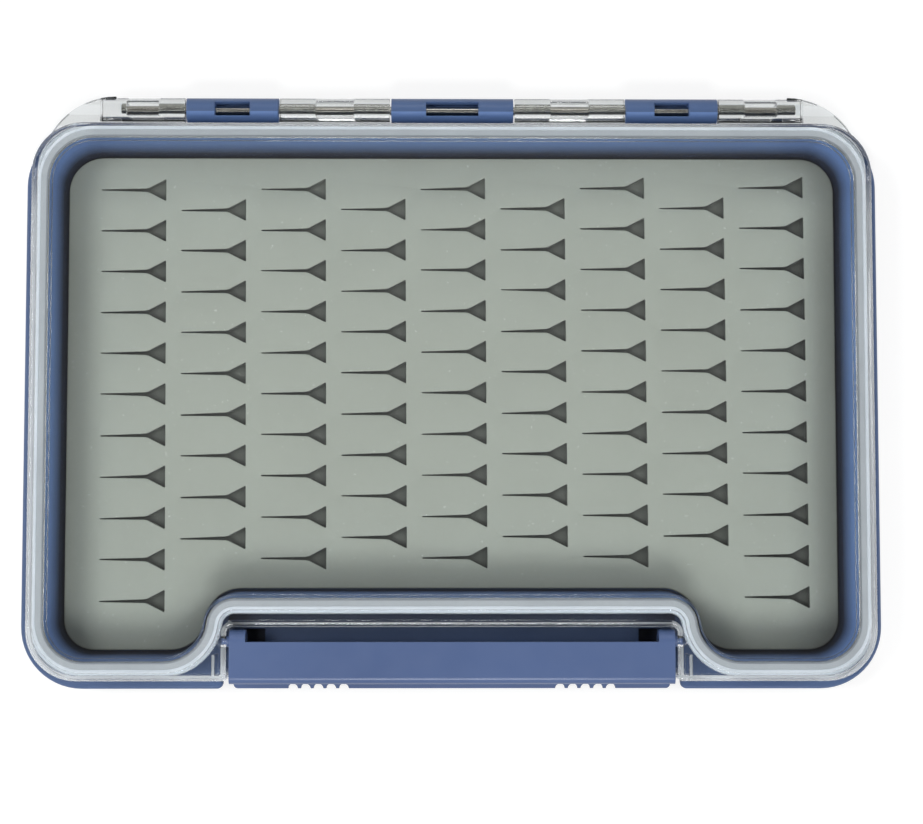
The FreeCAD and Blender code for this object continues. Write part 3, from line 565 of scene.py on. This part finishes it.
# Faces of the seal's section from its line round to its underside above the rim, and the ones at its
# inner edge that are painted darker, as painted shade
PRESSED_FACES = 8
PAINTED_SHADE_FACES = (2, 3)

# The lip reaches past this distance and stays inside the lid's walls
LIP_FROM = 4.5
LIP_HALF_X, LIP_REAR, LIP_FRONT = 93.2, 58.95, -63.9


def make_seal():
    """The seal in its groove. A fine line parts the half that presses on the rim from the free half.

    The free half has a thin lip under the lid's outer rib, and is painted lighter: painted light.
    The inner edge is painted darker: painted shade."""
    b = Builder()
    profile = ((3.36, 19.86), (3.28, 20.0), (2.1, 20.0), (1.7, 20.0), (1.7, 19.3), (1.78, 18.95),
               (2.02, 18.66), (2.4, 18.52), (3.4, 18.5), (4.9, 18.5), (4.9, 18.57), (4.1, 18.57),
               (4.1, 20.0), (3.44, 20.0))
    rings = []
    for grow, z in profile:
        ring = tray_ring(grow)
        if grow > LIP_FROM:
            ring = [(max(min(x, LIP_HALF_X), -LIP_HALF_X), max(min(y, LIP_REAR), LIP_FRONT))
                    for x, y in ring]
        rings.append(b.ring(ring, z))
    for inner, outer in zip(rings, rings[1:] + rings[:1]):
        b.band(outer, inner)
    piece = b.make("seal_cord", seal, 40)
    # Painted light on the free half, painted shade at the inner edge
    piece.data.materials.append(free_seal_painted_light)
    piece.data.materials.append(edge_seal_painted_shade)
    count = len(rings[0])
    for face in piece.data.polygons:
        row = face.index // count
        if row >= PRESSED_FACES:
            face.material_index = 1
        elif row in PAINTED_SHADE_FACES:
            face.material_index = 2
    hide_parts("lid_gasket")
    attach(piece, "lid")


make_insert()
make_seal()


# Floor, world, lamps and camera

# How bright the soft panel in the ceiling looks in gloss, the plain level of light, and the glow that
# keeps the paper white in the middle and further out
PANEL_LEVEL = 0.15
PLAIN_LEVEL = 0.3
GLOW_MIDDLE, GLOW_FAR = 0.64, 0.87
LAMP_SIZE = 0.3

# The camera's lens and place in millimetres and how far it leans, in degrees, as the photo shows it
LENS, CAMERA_PLACE = 78.0, (-2.56, -36.08, 465.66)
CAMERA_TILT, CAMERA_PAN = 3.93, 0.59


def shown_ray(s):
    """1 for rays from the camera and for what metal and glass show, with no diffuse bounce before."""
    path = s.node("LightPath").outputs
    shown = s.math("MAXIMUM", path["Is Camera Ray"], path["Is Glossy Ray"])
    shown = s.math("MAXIMUM", shown, path["Is Transmission Ray"])
    return s.overlap(shown, s.math("LESS_THAN", path["Diffuse Depth"], 0.5))


def make_floor():
    b = Builder()
    half = 3000.0
    b.cap(b.ring([(-half, -half), (half, -half), (half, half), (-half, half)], -0.05))
    s = Shade("paper_floor", Roughness=0.9)
    s.colour(s.tones(s.noise(8.0, 3.0), (0.44, 0.44, 0.44), (0.46, 0.46, 0.46)))
    s.bump((s.noise(600.0, 3.0), 0.00002))

    # The glow makes up for the lamps' fall-off further out
    away = s.node("VectorMath", operation="LENGTH")
    s.link(s.place, away.inputs[0])
    level = s.span(away.outputs["Value"], GLOW_MIDDLE, GLOW_FAR, 0.2, 1.1)
    glow = s.node("Emission")
    glow.inputs["Color"].default_value = (1.0, 1.0, 1.0, 1.0)
    s.link(s.math("MULTIPLY", shown_ray(s), level), glow.inputs["Strength"])
    both = s.node("AddShader")
    s.link(s.shader.outputs["BSDF"], both.inputs[0])
    s.link(glow.outputs["Emission"], both.inputs[1])
    s.link(both.outputs["Shader"], s.output.inputs["Surface"])
    b.make("paper_sweep", s.material)


def make_world():
    """A white surround, a dim ceiling with a soft bright panel in it, and one plain level of light."""
    world = bpy.data.worlds.new("studio")
    bpy.context.scene.world = world
    world.use_nodes = True
    w = Nodes(world.node_tree)
    background = w.tree.nodes["Background"]
    background.inputs["Color"].default_value = (1.0, 1.0, 1.0, 1.0)

    x, y, z = w.parts(w.node("TexCoord").outputs["Generated"])
    up = w.math("MAXIMUM", z, 0.05)
    aside = w.math("ABSOLUTE", w.math("DIVIDE", x, up))
    back = w.math("DIVIDE", y, up)
    panel = w.overlap(w.span(aside, PANEL_LEVEL, 0.0, 0.1, 0.24, "SMOOTHSTEP"),
                      w.span(back, 0.0, 1.0, -0.04, 0.07, "SMOOTHSTEP"),
                      w.span(back, 1.0, 0.0, 0.3, 0.5, "SMOOTHSTEP"))
    shown = w.math("ADD", w.span(z, 1.0, 0.12, 0.35, 0.75, "SMOOTHSTEP"), panel)
    level = w.node("Mix")
    level.inputs["A"].default_value = PLAIN_LEVEL
    w.link(shown_ray(w), level.inputs["Factor"])
    w.link(shown, level.inputs["B"])
    w.link(level.outputs["Result"], background.inputs["Strength"])


def make_lamp(name, place, power):
    """A soft square lamp that looks at the box."""
    data = bpy.data.lights.new(name, "AREA")
    data.shape = "SQUARE"
    data.size = LAMP_SIZE
    data.energy = power
    lamp = bpy.data.objects.new(name, data)
    lamp.location = place
    lamp.rotation_euler = Vector(place).to_track_quat("Z", "Y").to_euler()
    bpy.context.scene.collection.objects.link(lamp)


def make_camera():
    data = bpy.data.cameras.new("photo_camera")
    data.sensor_width = 36.0
    data.lens = LENS
    data.clip_start = 0.01
    data.clip_end = 20.0
    camera = bpy.data.objects.new("photo_camera", data)
    camera.location = [c * MM for c in CAMERA_PLACE]
    tilt, pan = math.radians(CAMERA_TILT), math.radians(CAMERA_PAN)
    ahead = Vector((math.sin(pan), math.sin(tilt) * math.cos(pan), -math.cos(tilt) * math.cos(pan)))
    across = ahead.cross(Vector((0.0, 1.0, 0.0))).normalized()
    camera.rotation_euler = Matrix((across, across.cross(ahead), -ahead)).transposed().to_euler()
    bpy.context.scene.collection.objects.link(camera)
    bpy.context.scene.camera = camera


make_floor()
make_world()
for name, place, power in (("left", (-0.62, 0.05, 1.0), 4.1), ("right", (0.62, 0.05, 1.0), 1.5),
                           ("rear", (0.0, 0.75, 0.95), 1.2), ("front", (0.0, -0.62, 1.0), 5.2)):
    make_lamp(name, place, power)
make_camera()
bpy.context.scene.view_settings.view_transform = "Standard"
